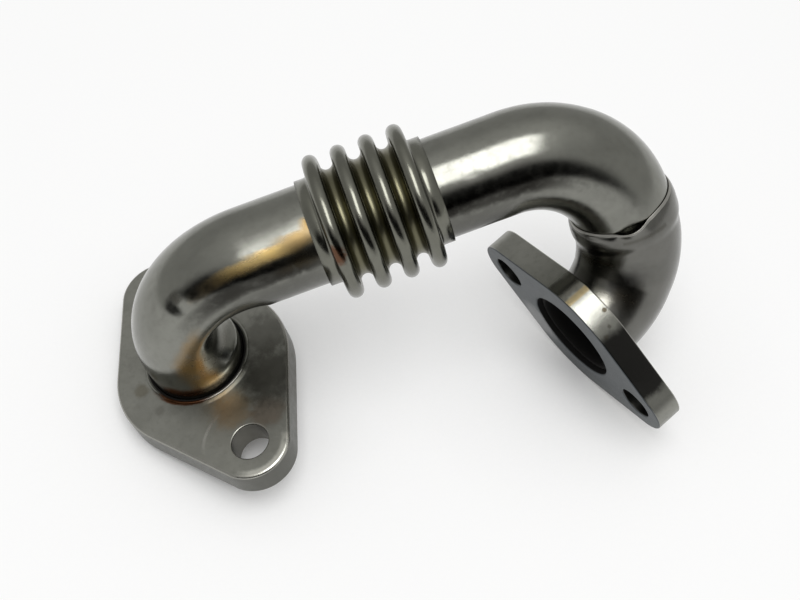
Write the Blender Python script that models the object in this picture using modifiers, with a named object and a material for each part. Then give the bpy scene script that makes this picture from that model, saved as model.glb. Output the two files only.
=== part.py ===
"""Exhaust gas recirculation pipe: an inlet flange, a bent tube, a bellows with four convolutions,
a second bent tube, an elbow slipped over that tube, and an outlet flange. Metres, +Z up. The pipe
lies on a flat surface the way it comes to rest, with the middle of its footprint at the origin."""
from collections import namedtuple
from math import asin, cos, pi, radians, sin, sqrt

import bmesh
import bpy
import numpy as np
from mathutils import Matrix, Vector

MM = 0.001
WELD = 0.001 * MM
SMOOTH_ANGLE = radians(35)
PLATE_SMOOTH_ANGLE = radians(30)

# Clearance that brazed pieces keep between each other
JOINT_GAP = 0.3 * MM

# Tubes
TUBE_RADIUS = 12.5 * MM
TUBE_WALL = 1.0 * MM
TUBE_RECESS = 1.5 * MM
BEND_STEP = radians(6)
BEND_SWELL = 0.055
TUBE_SIDES = 28

# Centre line, from the inlet flange's mating face to the outlet flange's mating face
INLET_LEG = 4.4 * MM
INLET_BEND_RADIUS = 24.7 * MM
INLET_BEND_ANGLE = radians(91.1)
INLET_BEND_PINCH = 0.6
INLET_RUN = 31.4 * MM
OUTLET_RUN = 33.3 * MM
OUTLET_BEND_RADIUS = 25.0 * MM
OUTLET_BEND_ANGLE = radians(88.6)
OUTLET_BEND_ROLL = radians(-18.3)
ELBOW_LEAD = 5.0 * MM
ELBOW_BEND_RADIUS = 20.0 * MM
ELBOW_BEND_ANGLE = radians(80.3)
ELBOW_BEND_ROLL = radians(-19.3)
ELBOW_LEG = 0.1 * MM

# Elbow mouth: a sleeve over the end of the outlet tube, cut at a slant, and a shoulder behind it
SOCKET_LAP = 3.0 * MM
SLEEVE_STEPS = 2
MOUTH_NEAR = 1.9 * MM
MOUTH_SLANT = radians(26.9)
MOUTH_ANGLE = radians(-76.4)
SHOULDER_DROP = 0.5 * MM
SHOULDER_LENGTH = 1.5 * MM
TAPER_SHARE = 0.5

# Bellows
CONVOLUTIONS = 4
CONVOLUTION_PITCH = 7.1 * MM
CONVOLUTION_HEIGHT = 4.8 * MM
CREST_ROUND = 1.9 * MM
BELLOWS_WALL = 0.5 * MM
CUFF_LENGTH = 2.4 * MM
CUFF_FILLET = 0.8 * MM
CUFF_LAP = 3.2 * MM
CREST_STEPS = 4
ROOT_STEPS = 3
BELLOWS_SIDES = 36

# Inlet flange
INLET_FLANGE_THICKNESS = 7.8 * MM
INLET_BOLT_SPACING = 56.4 * MM
INLET_BOLT_HOLE_RADIUS = 4.7 * MM
INLET_LUG_RADIUS = 10.1 * MM
INLET_BODY_RADIUS = 23.2 * MM
INLET_BORE_OFFSET = 3.2 * MM
INLET_BOLT_ANGLE = radians(-75.2)
INLET_EDGE_ROUND = 0.9 * MM

# Outlet flange
OUTLET_FLANGE_THICKNESS = 7.1 * MM
OUTLET_BOLT_SPACING = 47.0 * MM
OUTLET_BOLT_HOLE_RADIUS = 4.5 * MM
OUTLET_LUG_RADIUS = 8.6 * MM
OUTLET_BODY_RADIUS = 20.5 * MM
OUTLET_BOLT_ANGLE = radians(126)
OUTLET_EDGE_ROUND = 0.4 * MM

# Both flanges
BORE_CHAMFER = 1.7 * MM
FACE_CHAMFER = 0.4 * MM
HOLE_CHAMFER = 0.4 * MM
OUTLINE_STEP = radians(9)
BORE_SIDES = 40
HOLE_SIDES = 20
CUTTER_OVERRUN = 2.0 * MM

# Brazed joints
BRAZE_CROWN = 0.35 * MM


# A place on a tube's centre line. Local +Z leads on, swell widens the section along local X, and
# pinch flattens its inner side, at local +X
Station = namedtuple("Station", "frame radius swell pinch")


def start_of_line():
    return Station(Matrix.Identity(4), TUBE_RADIUS, 0.0, 0.0)


def straight(frame, length, radius=TUBE_RADIUS):
    """Return the station a length further along the travel direction, which is local +Z."""
    return Station(frame @ Matrix.Translation((0, 0, length)), radius, 0.0, 0.0)


def bend(frame, radius, angle, roll=0.0, pinch=0.0):
    """Return the stations along an arc that turns local +Z towards the rolled local +X."""
    centre = frame @ Matrix.Rotation(roll, 4, "Z") @ Matrix.Translation((radius, 0, 0))
    back = Matrix.Translation((-radius, 0, 0))
    steps = max(2, round(angle / BEND_STEP))
    made = []
    for k in range(1, steps + 1):
        turned_frame = centre @ Matrix.Rotation(angle * k / steps, 4, "Y") @ back
        strength = sin(pi * k / steps)
        made.append(Station(turned_frame, TUBE_RADIUS, BEND_SWELL * strength, pinch * strength))
    return made


def material(name, colour, roughness, metallic=1.0):
    """Return a Principled BSDF material."""
    made = bpy.data.materials.new(name)
    made.use_nodes = True
    shader = made.node_tree.nodes["Principled BSDF"]
    shader.inputs["Base Color"].default_value = (*colour, 1.0)
    shader.inputs["Roughness"].default_value = roughness
    shader.inputs["Metallic"].default_value = metallic
    return made


def collection(name):
    """Return a new collection linked to the scene."""
    made = bpy.data.collections.new(name)
    bpy.context.scene.collection.children.link(made)
    return made


def place(piece, frame, parent):
    """Give a piece its location and rotation under its parent."""
    piece.parent = parent
    piece.location = frame.to_translation()
    piece.rotation_euler = frame.to_euler()


def finish(piece, finish_material, smooth_angle=SMOOTH_ANGLE):
    """Set a piece's material and shading."""
    piece.data.materials.clear()
    piece.data.materials.append(finish_material)
    piece.data.shade_smooth()
    piece.data.set_sharp_from_angle(angle=smooth_angle)


def curve_to_mesh(curve_object, name, target):
    """Replace a curve object with a mesh object whose doubled points are welded."""
    depsgraph = bpy.context.evaluated_depsgraph_get()
    mesh = bpy.data.meshes.new_from_object(curve_object.evaluated_get(depsgraph))
    curve = curve_object.data
    bpy.data.objects.remove(curve_object)
    bpy.data.curves.remove(curve)
    shape = bmesh.new()
    shape.from_mesh(mesh)
    bmesh.ops.remove_doubles(shape, verts=shape.verts, dist=WELD)
    shape.to_mesh(mesh)
    shape.free()
    made = bpy.data.objects.new(name, mesh)
    target.objects.link(made)
    return made


def press(mesh, stations):
    """Swell and pinch each ring of a tube. The rings follow in the stations' order."""
    for index, vertex in enumerate(mesh.vertices):
        station = stations[index // TUBE_SIDES]
        local = station.frame.inverted() @ vertex.co
        local.x *= 1 + station.swell
        local.x *= 1 - station.pinch if local.x > 0 else 1
        vertex.co = station.frame @ local


def tube(name, stations, target, wall):
    """Return an open tube with a wall, over the stations along its centre line."""
    curve = bpy.data.curves.new(name, "CURVE")
    curve.dimensions = "3D"
    curve.bevel_depth = TUBE_RADIUS
    curve.bevel_resolution = (TUBE_SIDES - 4) // 2
    line = curve.splines.new("POLY")
    line.points.add(len(stations) - 1)
    for point, station in zip(line.points, stations):
        point.co = (*station.frame.to_translation(), 1.0)
        point.radius = station.radius / TUBE_RADIUS
    guide = bpy.data.objects.new(name + "_line", curve)
    target.objects.link(guide)
    made = curve_to_mesh(guide, name, target)
    press(made.data, stations)
    shell = made.modifiers.new("wall", "SOLIDIFY")
    shell.thickness = wall
    shell.offset = -1.0
    return made


def turned(name, profile, sides, target):
    """Return an object turned about local Z from (radius, height) points."""
    mesh = bpy.data.meshes.new(name)
    edges = [(k, k + 1) for k in range(len(profile) - 1)]
    mesh.from_pydata([(radius, 0.0, height) for radius, height in profile], edges, [])
    made = bpy.data.objects.new(name, mesh)
    target.objects.link(made)
    screw = made.modifiers.new("turn", "SCREW")
    screw.steps = sides
    screw.render_steps = sides
    screw.use_merge_vertices = True
    screw.merge_threshold = WELD
    return made


def arc(centre, radius, start, end, steps):
    """Return points on an arc, both ends included."""
    angles = [start + (end - start) * k / steps for k in range(steps + 1)]
    return [(centre[0] + radius * cos(a), centre[1] + radius * sin(a)) for a in angles]


def flange_outline(half_spacing, lug_radius, body_radius):
    """Return the outline that wraps a round body and a lug at each end of the X axis."""
    lean = asin((body_radius - lug_radius) / half_spacing)
    lug_half = pi / 2 - lean
    lug_steps = round(2 * lug_half / OUTLINE_STEP)
    body_steps = max(2, round(2 * lean / OUTLINE_STEP))
    right = arc((half_spacing, 0), lug_radius, -lug_half, lug_half, lug_steps)
    top = arc((0, 0), body_radius, pi / 2 - lean, pi / 2 + lean, body_steps)
    quarter = right + top
    return quarter + [(-x, -y) for x, y in quarter]


def plate(name, outline, thickness, edge_round, target):
    """Return a flat plate with rounded edges, from z = 0 up to its thickness."""
    curve = bpy.data.curves.new(name, "CURVE")
    curve.dimensions = "2D"
    curve.fill_mode = "BOTH"
    curve.extrude = thickness / 2 - edge_round
    curve.bevel_depth = edge_round
    curve.bevel_resolution = 1
    curve.offset = -edge_round
    line = curve.splines.new("POLY")
    line.points.add(len(outline) - 1)
    for point, (x, y) in zip(line.points, outline):
        point.co = (x, y, 0.0, 1.0)
    line.use_cyclic_u = True
    guide = bpy.data.objects.new(name + "_outline", curve)
    target.objects.link(guide)
    made = curve_to_mesh(guide, name, target)
    made.data.transform(Matrix.Translation((0, 0, thickness / 2)))
    return made


def hole_cutter(name, radius, thickness, low_chamfer, high_chamfer, sides, target):
    """Return a round cutter through a plate, with a chamfer at each face."""
    over = CUTTER_OVERRUN
    profile = [
        (0.0, thickness + over),
        (radius + high_chamfer + over, thickness + over),
        (radius, thickness - high_chamfer),
        (radius, low_chamfer),
        (radius + low_chamfer + over, -over),
        (0.0, -over),
    ]
    cutter = turned(name, profile, sides, target)
    cutter.hide_render = True
    cutter.display_type = "WIRE"
    return cutter


def cut(piece, cutter):
    """Subtract a cutter from a piece."""
    step = piece.modifiers.new(cutter.name, "BOOLEAN")
    step.operation = "DIFFERENCE"
    step.object = cutter
    step.solver = "EXACT"


def flange(name, size, frame, root, parts, cutters, finish_material):
    """Build a two-bolt flange whose mating face is at local z = 0, with its back at +Z.

    The frame's origin is on the tube's axis, and size holds the thickness, bolt spacing, hole,
    lug and body radii, bore offset, bolt angle and edge rounding.
    """
    thickness, spacing, hole, lug, body, offset, angle, edge_round = size
    middle = frame @ Matrix.Rotation(angle, 4, "Z") @ Matrix.Translation((offset, 0, 0))
    outline = flange_outline(spacing / 2, lug, body)
    made = plate(name, outline, thickness, edge_round, parts)
    place(made, middle, root)
    bore = hole_cutter(name + "_bore_cutter", TUBE_RADIUS + JOINT_GAP, thickness, FACE_CHAMFER,
                       BORE_CHAMFER, BORE_SIDES, cutters)
    place(bore, middle @ Matrix.Translation((-offset, 0, 0)), root)
    cut(made, bore)
    for side in (-1, 1):
        label = f"{name}_bolt_cutter_{'near' if side > 0 else 'far'}"
        bolt = hole_cutter(label, hole, thickness, HOLE_CHAMFER, HOLE_CHAMFER, HOLE_SIDES, cutters)
        place(bolt, middle @ Matrix.Translation((side * spacing / 2, 0, 0)), root)
        cut(made, bolt)
    finish(made, finish_material, PLATE_SMOOTH_ANGLE)
    return made


def braze_ring(name, thickness, frame, root, parts, finish_material):
    """Build the ring of braze metal that fills the chamfer at a flange's back."""
    inner = TUBE_RADIUS + JOINT_GAP
    outer = inner + BORE_CHAMFER - JOINT_GAP * sqrt(2)
    depth = outer - inner
    profile = [
        (inner, thickness + BRAZE_CROWN),
        (inner + depth / 2, thickness + BRAZE_CROWN / 2),
        (outer, thickness),
        (inner, thickness - depth),
        (inner, thickness + BRAZE_CROWN),
    ]
    made = turned(name, profile, BELLOWS_SIDES, parts)
    place(made, frame, root)
    finish(made, finish_material)
    return made


def bellows_profile():
    """Return the bellows' outer surface as (radius, height) points, top to bottom."""
    root_round = CONVOLUTION_PITCH / 2 - CREST_ROUND
    cuff = TUBE_RADIUS + JOINT_GAP + BELLOWS_WALL
    crest_centre = cuff + CONVOLUTION_HEIGHT - CREST_ROUND
    root_centre = cuff + root_round
    top = (CONVOLUTIONS - 1) / 2 * CONVOLUTION_PITCH
    fillet_top = top + CREST_ROUND + CUFF_FILLET
    points = [(cuff, fillet_top + CUFF_LENGTH)]
    points += arc((cuff + CUFF_FILLET, fillet_top), CUFF_FILLET, pi, 1.5 * pi, 2)
    for k in range(CONVOLUTIONS):
        height = top - k * CONVOLUTION_PITCH
        points += arc((crest_centre, height), CREST_ROUND, pi / 2, -pi / 2, CREST_STEPS)
        if k < CONVOLUTIONS - 1:
            middle = height - CONVOLUTION_PITCH / 2
            points += arc((root_centre, middle), root_round, pi / 2, 1.5 * pi, ROOT_STEPS)
    points += arc((cuff + CUFF_FILLET, -fillet_top), CUFF_FILLET, pi / 2, pi, 2)
    points.append((cuff, -fillet_top - CUFF_LENGTH))
    return points


def build_bellows(middle, root, parts, finish_material):
    """Build the bellows about its middle frame."""
    made = turned("bellows", bellows_profile(), BELLOWS_SIDES, parts)
    shell = made.modifiers.new("wall", "SOLIDIFY")
    shell.thickness = BELLOWS_WALL
    shell.offset = -1.0
    place(made, middle, root)
    finish(made, finish_material)
    return made


def bellows_half_length():
    """Return the distance from the bellows' middle to the end of a cuff."""
    return (CONVOLUTIONS - 1) / 2 * CONVOLUTION_PITCH + CREST_ROUND + CUFF_FILLET + CUFF_LENGTH


def build_inlet_tube(face, root, parts, finish_material):
    """Build the tube from the inlet flange to the bellows and return the bellows' middle frame."""
    start = face @ Matrix.Translation((0, 0, TUBE_RECESS))
    leg = INLET_FLANGE_THICKNESS + INLET_LEG - TUBE_RECESS
    lap_end = bellows_half_length() - CUFF_LAP
    stations = [start_of_line()]
    stations.append(straight(stations[-1].frame, leg))
    stations += bend(stations[-1].frame, INLET_BEND_RADIUS, INLET_BEND_ANGLE,
                     pinch=INLET_BEND_PINCH)
    bend_end = stations[-1].frame
    stations.append(straight(bend_end, INLET_RUN - lap_end))
    made = tube("inlet_tube", stations, parts, TUBE_WALL)
    place(made, start, root)
    finish(made, finish_material)
    return start @ straight(bend_end, INLET_RUN).frame


def build_outlet_tube(middle, root, parts, finish_material):
    """Build the tube from the bellows into the elbow. Return its start and its bend's stations."""
    lap_end = bellows_half_length() - CUFF_LAP
    start = middle @ Matrix.Translation((0, 0, lap_end))
    run = straight(Matrix.Identity(4), OUTLET_RUN - lap_end)
    curved = bend(run.frame, OUTLET_BEND_RADIUS, OUTLET_BEND_ANGLE, OUTLET_BEND_ROLL)
    tip = straight(curved[-1].frame, SOCKET_LAP)
    made = tube("outlet_tube", [start_of_line(), run] + curved + [tip], parts, TUBE_WALL)
    place(made, start, root)
    finish(made, finish_material)
    return start, curved


def elbow_stations(curved):
    """Return the elbow's stations: a sleeve over the outlet tube, a shoulder, a bend and a leg."""
    socket = TUBE_RADIUS + JOINT_GAP + TUBE_WALL
    behind = socket - SHOULDER_DROP
    bend_end = curved[-1].frame
    stations = [station._replace(radius=socket) for station in curved[-1 - SLEEVE_STEPS:]]
    shoulder = SOCKET_LAP + JOINT_GAP
    stations.append(straight(bend_end, shoulder, socket))
    stations.append(straight(bend_end, shoulder + SHOULDER_LENGTH, behind))
    lead = straight(bend_end, ELBOW_LEAD, behind)
    arc_stations = bend(lead.frame, ELBOW_BEND_RADIUS, ELBOW_BEND_ANGLE, ELBOW_BEND_ROLL)
    for k, station in enumerate(arc_stations, start=1):
        taper = max(0.0, 1 - k / len(arc_stations) / TAPER_SHARE)
        radius = TUBE_RADIUS + (behind - TUBE_RADIUS) * taper
        stations.append(station._replace(radius=radius))
    leg = ELBOW_LEG + BRAZE_CROWN + OUTLET_FLANGE_THICKNESS
    stations.append(straight(stations[-1].frame, leg - TUBE_RECESS))
    return stations


def mouth_cutter(bend_end, target):
    """Return the block that trims the elbow's mouth at a slant, and its frame."""
    socket = TUBE_RADIUS + JOINT_GAP + TUBE_WALL
    block = 3 * socket
    shape = bmesh.new()
    bmesh.ops.create_cube(shape, size=block)
    mesh = bpy.data.meshes.new("mouth_cutter")
    shape.to_mesh(mesh)
    shape.free()
    cutter = bpy.data.objects.new("mouth_cutter", mesh)
    target.objects.link(cutter)
    cutter.hide_render = True
    cutter.display_type = "WIRE"
    near_rim = bend_end @ Matrix.Rotation(MOUTH_ANGLE, 4, "Z")
    near_rim = near_rim @ Matrix.Translation((socket, 0, -MOUTH_NEAR))
    slanted = near_rim @ Matrix.Rotation(-MOUTH_SLANT, 4, "Y")
    return cutter, slanted @ Matrix.Translation((-socket, 0, -block / 2))


def build_elbow(start, curved, root, parts, cutters, finish_material):
    """Build the elbow over the outlet tube's end and return the outlet flange's face frame."""
    stations = elbow_stations(curved)
    made = tube("outlet_elbow", stations, parts, TUBE_WALL)
    place(made, start, root)
    cutter, trim = mouth_cutter(curved[-1].frame, cutters)
    place(cutter, start @ trim, root)
    cut(made, cutter)
    finish(made, finish_material)
    return start @ straight(stations[-1].frame, TUBE_RECESS).frame


def world_triangles(pieces):
    """Return the corner points of all the pieces' triangles, as an array of (n, 3, 3)."""
    depsgraph = bpy.context.evaluated_depsgraph_get()
    found = []
    for piece in pieces:
        shown = piece.evaluated_get(depsgraph)
        mesh = shown.to_mesh()
        mesh.calc_loop_triangles()
        points = np.empty(len(mesh.vertices) * 3, dtype=np.float32)
        mesh.vertices.foreach_get("co", points)
        corners = np.empty(len(mesh.loop_triangles) * 3, dtype=np.int32)
        mesh.loop_triangles.foreach_get("vertices", corners)
        matrix = np.array(piece.matrix_world)
        placed = points.reshape(-1, 3) @ matrix[:3, :3].T + matrix[:3, 3]
        found.append(placed[corners.reshape(-1, 3)])
        shown.to_mesh_clear()
    return np.concatenate(found)


def centre_of_mass(triangles):
    """Return the centre of mass of closed solids of one density."""
    volumes = np.einsum("ij,ij->i", triangles[:, 0], np.cross(triangles[:, 1], triangles[:, 2]))
    return (volumes[:, None] * triangles.sum(axis=1)).sum(axis=0) / (4 * volumes.sum())


def hull_faces(points):
    """Return the convex hull's triangles, as an array of (n, 3, 3)."""
    shape = bmesh.new()
    for point in np.unique(points.round(7), axis=0):
        shape.verts.new(point)
    bmesh.ops.convex_hull(shape, input=shape.verts)
    bmesh.ops.triangulate(shape, faces=shape.faces)
    faces = np.array([[corner.co[:] for corner in face.verts] for face in shape.faces])
    shape.free()
    return faces


def holds(face, down, centre):
    """Say whether the centre of mass stands over a hull face that lies on the ground."""
    edges = np.roll(face, -1, axis=0) - face
    sides = np.einsum("ij,ij->i", np.cross(edges, centre - face), np.tile(down, (3, 1)))
    return bool((sides > 0).all() or (sides < 0).all())


def resting_matrix(triangles, down_guess, along):
    """Return the matrix that lays the pieces on the ground, on the steady face of their hull that
    is nearest to the guess, with a given direction along +X and the footprint's middle at 0."""
    centre = centre_of_mass(triangles)
    points = triangles.reshape(-1, 3)
    best = None
    for face in hull_faces(points):
        down = np.cross(face[1] - face[0], face[2] - face[0])
        length = np.linalg.norm(down)
        if length < 1e-12:
            continue
        down = down / length
        down = down if down @ (face[0] - centre) > 0 else -down
        if holds(face, down, centre) and (best is None or down @ down_guess > best @ down_guess):
            best = down
    up = -best
    ahead = along - (along @ up) * up
    ahead = ahead / np.linalg.norm(ahead)
    turn = np.array([ahead, np.cross(up, ahead), up])
    laid = points @ turn.T
    low, high = laid.min(axis=0), laid.max(axis=0)
    matrix = np.eye(4)
    matrix[:3, :3] = turn
    matrix[:3, 3] = -np.array([(low[0] + high[0]) / 2, (low[1] + high[1]) / 2, low[2]])
    return Matrix(matrix.tolist())


def main():
    for old in list(bpy.data.objects):
        bpy.data.objects.remove(old)
    parts = collection("egr_pipe")
    cutters = collection("egr_pipe_cutters")
    root = bpy.data.objects.new("egr_pipe_root", None)
    parts.objects.link(root)

    tube_steel = material("satin_tube_steel", (0.42, 0.41, 0.37), 0.32)
    bellows_steel = material("bellows_steel", (0.40, 0.38, 0.32), 0.26)
    plate_steel = material("plate_steel", (0.34, 0.34, 0.32), 0.45)
    braze = material("braze_metal", (0.22, 0.12, 0.08), 0.5)

    inlet_face = Matrix.Identity(4)
    middle = build_inlet_tube(inlet_face, root, parts, tube_steel)
    build_bellows(middle, root, parts, bellows_steel)
    start, curved = build_outlet_tube(middle, root, parts, tube_steel)
    outlet_end = build_elbow(start, curved, root, parts, cutters, tube_steel)
    outlet_face = outlet_end @ Matrix.Rotation(pi, 4, "X")

    inlet_size = (INLET_FLANGE_THICKNESS, INLET_BOLT_SPACING, INLET_BOLT_HOLE_RADIUS,
                  INLET_LUG_RADIUS, INLET_BODY_RADIUS, INLET_BORE_OFFSET, INLET_BOLT_ANGLE,
                  INLET_EDGE_ROUND)
    outlet_size = (OUTLET_FLANGE_THICKNESS, OUTLET_BOLT_SPACING, OUTLET_BOLT_HOLE_RADIUS,
                   OUTLET_LUG_RADIUS, OUTLET_BODY_RADIUS, 0.0, OUTLET_BOLT_ANGLE,
                   OUTLET_EDGE_ROUND)
    flange("inlet_flange", inlet_size, inlet_face, root, parts, cutters, plate_steel)
    flange("outlet_flange", outlet_size, outlet_face, root, parts, cutters, plate_steel)
    braze_ring("inlet_braze_ring", INLET_FLANGE_THICKNESS, inlet_face, root, parts, braze)
    braze_ring("outlet_braze_ring", OUTLET_FLANGE_THICKNESS, outlet_face, root, parts, braze)

    bpy.context.view_layer.update()
    pieces = [piece for piece in parts.objects if piece.type == "MESH"]
    along = np.array(middle.to_3x3() @ Vector((0, 0, 1)))
    down_guess = np.array(inlet_face.to_3x3() @ Vector((0, 0, -1)))
    root.matrix_world = resting_matrix(world_triangles(pieces), down_guess, along)
    bpy.context.view_layer.update()


main()
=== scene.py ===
"""The looks of an exhaust gas recirculation pipe with a bellows and two bolted flanges: fine smooth
pieces in heat-tinted satin steel, a pale floor, a soft lamp, a grey room and a camera."""
from collections import namedtuple
from math import asin, cos, degrees, exp, pi, radians, sin, tan

import bmesh
import bpy
from mathutils import Euler, Matrix, Vector, noise


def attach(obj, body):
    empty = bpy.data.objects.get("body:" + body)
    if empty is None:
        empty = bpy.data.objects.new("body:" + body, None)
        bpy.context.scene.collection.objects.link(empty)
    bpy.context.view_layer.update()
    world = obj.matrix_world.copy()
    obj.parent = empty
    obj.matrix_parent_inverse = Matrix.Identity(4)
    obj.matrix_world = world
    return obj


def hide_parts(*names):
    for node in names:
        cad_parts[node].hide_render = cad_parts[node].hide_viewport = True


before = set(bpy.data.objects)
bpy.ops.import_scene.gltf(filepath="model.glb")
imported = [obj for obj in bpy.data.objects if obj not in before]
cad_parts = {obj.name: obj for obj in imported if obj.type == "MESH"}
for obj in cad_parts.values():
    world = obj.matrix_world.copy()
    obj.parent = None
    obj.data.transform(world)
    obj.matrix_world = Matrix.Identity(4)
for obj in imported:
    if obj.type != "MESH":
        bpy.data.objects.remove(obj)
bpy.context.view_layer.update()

# Sizes are in millimetres and degrees unless a comment says otherwise. The scene is in metres.
MM = 0.001

# The pipe's own frame has its origin on the inlet flange's mating face and +Z into the pipe.
# It is turned and then moved, so that the pipe lies at rest on the floor.
PIPE_TURN = (-3.36718, -14.40520, 0.06639)
PIPE_PLACE = (-49.70705, 9.06585, 5.31162)

# Camera in the scene
CAMERA_PLACE = (-63.828, -183.402, 308.583)
CAMERA_TURN = (34.9657, -1.7564, -16.6172)
CAMERA_LENS = 60.918
CAMERA_SENSOR = 36.0
CAMERA_NEAR = 10.0

# Clearance between brazed pieces
JOINT_GAP = 0.3

# Tubes: the recess is from a flange's face to the tube's end, the lip rounds off the wall's end
TUBE_RADIUS = 12.5
TUBE_WALL = 1.0
TUBE_RECESS = 1.5
LIP = TUBE_WALL / 2

# Centre line from the inlet flange on. A bend is its radius, angle and roll.
INLET_LEG = 4.4
INLET_BEND = (24.7, 91.1, 0.0)
INLET_RUN = 31.4
OUTLET_RUN = 33.3
OUTLET_BEND = (25.0, 88.6, -18.3)
ELBOW_LEAD = 5.0
ELBOW_BEND = (20.0, 80.3, -19.3)
ELBOW_LEG = 0.1

# Bent sections: the share by which they are wider in the bend's plane, the share of the radius by
# which the inlet bend's inner side is pinched in, and the cosine over which the pinch sets in
BEND_SWELL = 0.055
INLET_PINCH = 0.6
CREASE = 0.06

# Uneven surface: dents as angle, distance along, half angle, half length and depth, which is
# negative where the surface is raised, and the height and length of a fine wave
DENTS = (
    (-135.0, 36.0, 20.0, 2.2, 0.36),
    (-121.0, 53.0, 16.0, 16.0, -0.2),
    (-140.0, 107.0, 5.0, 1.2, 0.15),
)
WAVE = 0.05
WAVE_LENGTH = 7.0

# The elbow laps over the outlet tube's end and steps down to the tube's size from a shoulder on
SOCKET_LAP = 3.0
SOCKET_RADIUS = TUBE_RADIUS + JOINT_GAP + TUBE_WALL
SHOULDER_DROP = 0.5
SHOULDER_EASE = 1.6
TAPER_SHARE = 0.5

# The elbow's mouth is cut at a slant: its shortest and longest reach back over the tube's bend, the
# rounding between them, the slant and the direction of its shortest side
MOUTH_NEAR = 1.9
MOUTH_LONGEST = 2.9
MOUTH_EASE = 0.6
MOUTH_SLANT = 26.9
MOUTH_ANGLE = -76.4

# The mouth's wall thins towards its rim, hugs the tube there, and gapes off it in one direction
MOUTH_RIM_WALL = 0.38
MOUTH_RIM_GAP = 0.03
MOUTH_GAPE = 1.7
MOUTH_GAPE_ANGLE = -8.0
MOUTH_GAPE_HALF = 23.0

# Bellows
CONVOLUTIONS = 4
CONVOLUTION_PITCH = 7.1
CONVOLUTION_HEIGHT = 4.8
CREST_ROUND = 1.9
BELLOWS_WALL = 0.5
CUFF_RADIUS = TUBE_RADIUS + JOINT_GAP + BELLOWS_WALL
CUFF_LENGTH = 2.4
CUFF_FILLET = 0.8
CUFF_LAP = 3.2
TOP_CREST = (CONVOLUTIONS - 1) / 2 * CONVOLUTION_PITCH

# Flanges. The offset runs from the bore to the middle of the two bolts, at the bolts' angle.
FlangeSize = namedtuple("FlangeSize", "thickness spacing hole lug body offset angle edge_round")
INLET_FLANGE = FlangeSize(7.8, 56.4, 4.7, 10.1, 23.2, 3.2, -75.2, 0.9)
OUTLET_FLANGE = FlangeSize(7.1, 47.0, 4.5, 8.6, 20.5, 0.0, 126.0, 0.4)
BORE_RADIUS = TUBE_RADIUS + JOINT_GAP
BORE_CHAMFER = 1.7
FACE_CHAMFER = 0.4
HOLE_CHAMFER = 0.4

# Braze in a flange's crevice: its inside, its section as (distance out, height over the flange's
# back), the crown that the elbow's leg leaves room for, and lumps, read from a circle of noise
BRAZE_INSIDE = TUBE_RADIUS + JOINT_GAP / 2
BRAZE_SECTION = (
    (0.0, -0.75), (0.25, -0.9), (0.6, -0.45), (0.95, -0.2), (1.4, -0.12), (1.35, -0.5), (0.0, -1.1),
)
BRAZE_CROWN = 0.35
LUMP_HEIGHT = 0.05
LUMP_CIRCLE = 4.0
LUMP_LEVEL = 1.2

# Where the bellows' middle lies along the centre line
BELLOWS_MIDDLE = (INLET_FLANGE.thickness + INLET_LEG + INLET_BEND[0] * radians(INLET_BEND[1])
                  + INLET_RUN)

# Mesh fineness: the angles round a tube and round a wall's end, the length or angle of a step,
# numbers of steps, the power that crowds the mouth's rows towards its rim, and the weight of large
# faces in a plate's normals
TUBE_SIDES = 112
ANGLES = [2 * pi * k / TUBE_SIDES for k in range(TUBE_SIDES)]
WALL_END = (pi / 4, pi / 2, 3 * pi / 4)
BEND_STEP = 2.0
RUN_STEP = 1.4
ARC_STEP = 3.0
BODY_STEPS_LEAST = 4
FILLET_STEPS = 6
CREST_STEPS = 16
ROOT_STEPS = 14
HOLE_SIDES = 96
ROUND_STEPS = 5
CHAMFER_STEPS = 3
MOUTH_ROWS = 16
MOUTH_ROW_POWER = 1.3
SHOULDER_ROWS = 8
NORMAL_WEIGHT = 100

# Colours
STEEL = (0.232, 0.233, 0.209)
PLATE_STEEL = (0.27, 0.27, 0.243)
# Painted shade on the inlet flange's wall
PAINTED_SHADE_STEEL = (0.125, 0.125, 0.112)
BELLOWS_STEEL = (0.177, 0.177, 0.15)
ELBOW_STEEL = (0.155, 0.153, 0.141)
DARK_STEEL = (0.14, 0.136, 0.118)
# Painted dim reflection, low on the tubes' front side
PAINTED_DIM_REFLECTION = (0.12, 0.119, 0.108)
STRAW = (0.30, 0.235, 0.115)
TAN = (0.26, 0.165, 0.062)
BROWN = (0.15, 0.078, 0.032)
OLIVE = (0.115, 0.10, 0.062)
DARK_OLIVE = (0.035, 0.031, 0.018)
GROOVE_OLIVE = (0.135, 0.127, 0.078)
SCORCH = (0.05, 0.04, 0.024)
GOLD = (0.62, 0.44, 0.17)
DULL_GOLD = (0.27, 0.19, 0.085)
SHADE = (0.085, 0.082, 0.07)
# Painted black reflection, low on the tubes' front side
DEEP_SHADE = (0.024, 0.023, 0.02)
PALE = (0.42, 0.41, 0.36)
# Painted highlight
PAINTED_HIGHLIGHT = (0.85, 0.84, 0.76)
WORN = (0.42, 0.41, 0.38)
RUST = (0.11, 0.045, 0.02)
SOOT = (0.010, 0.0095, 0.009)
SLATE = (0.058, 0.066, 0.071)
PALE_SLATE = (0.1, 0.112, 0.118)
CLEAN_SLATE = (0.24, 0.245, 0.25)
# Painted black reflection on the outlet flange's side
PAINTED_BLACK_REFLECTION = (0.022, 0.021, 0.02)
PAPER = (0.88, 0.88, 0.88)
PALE_PAPER = (0.92, 0.92, 0.92)
WHITE = (1.0, 1.0, 1.0)

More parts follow.
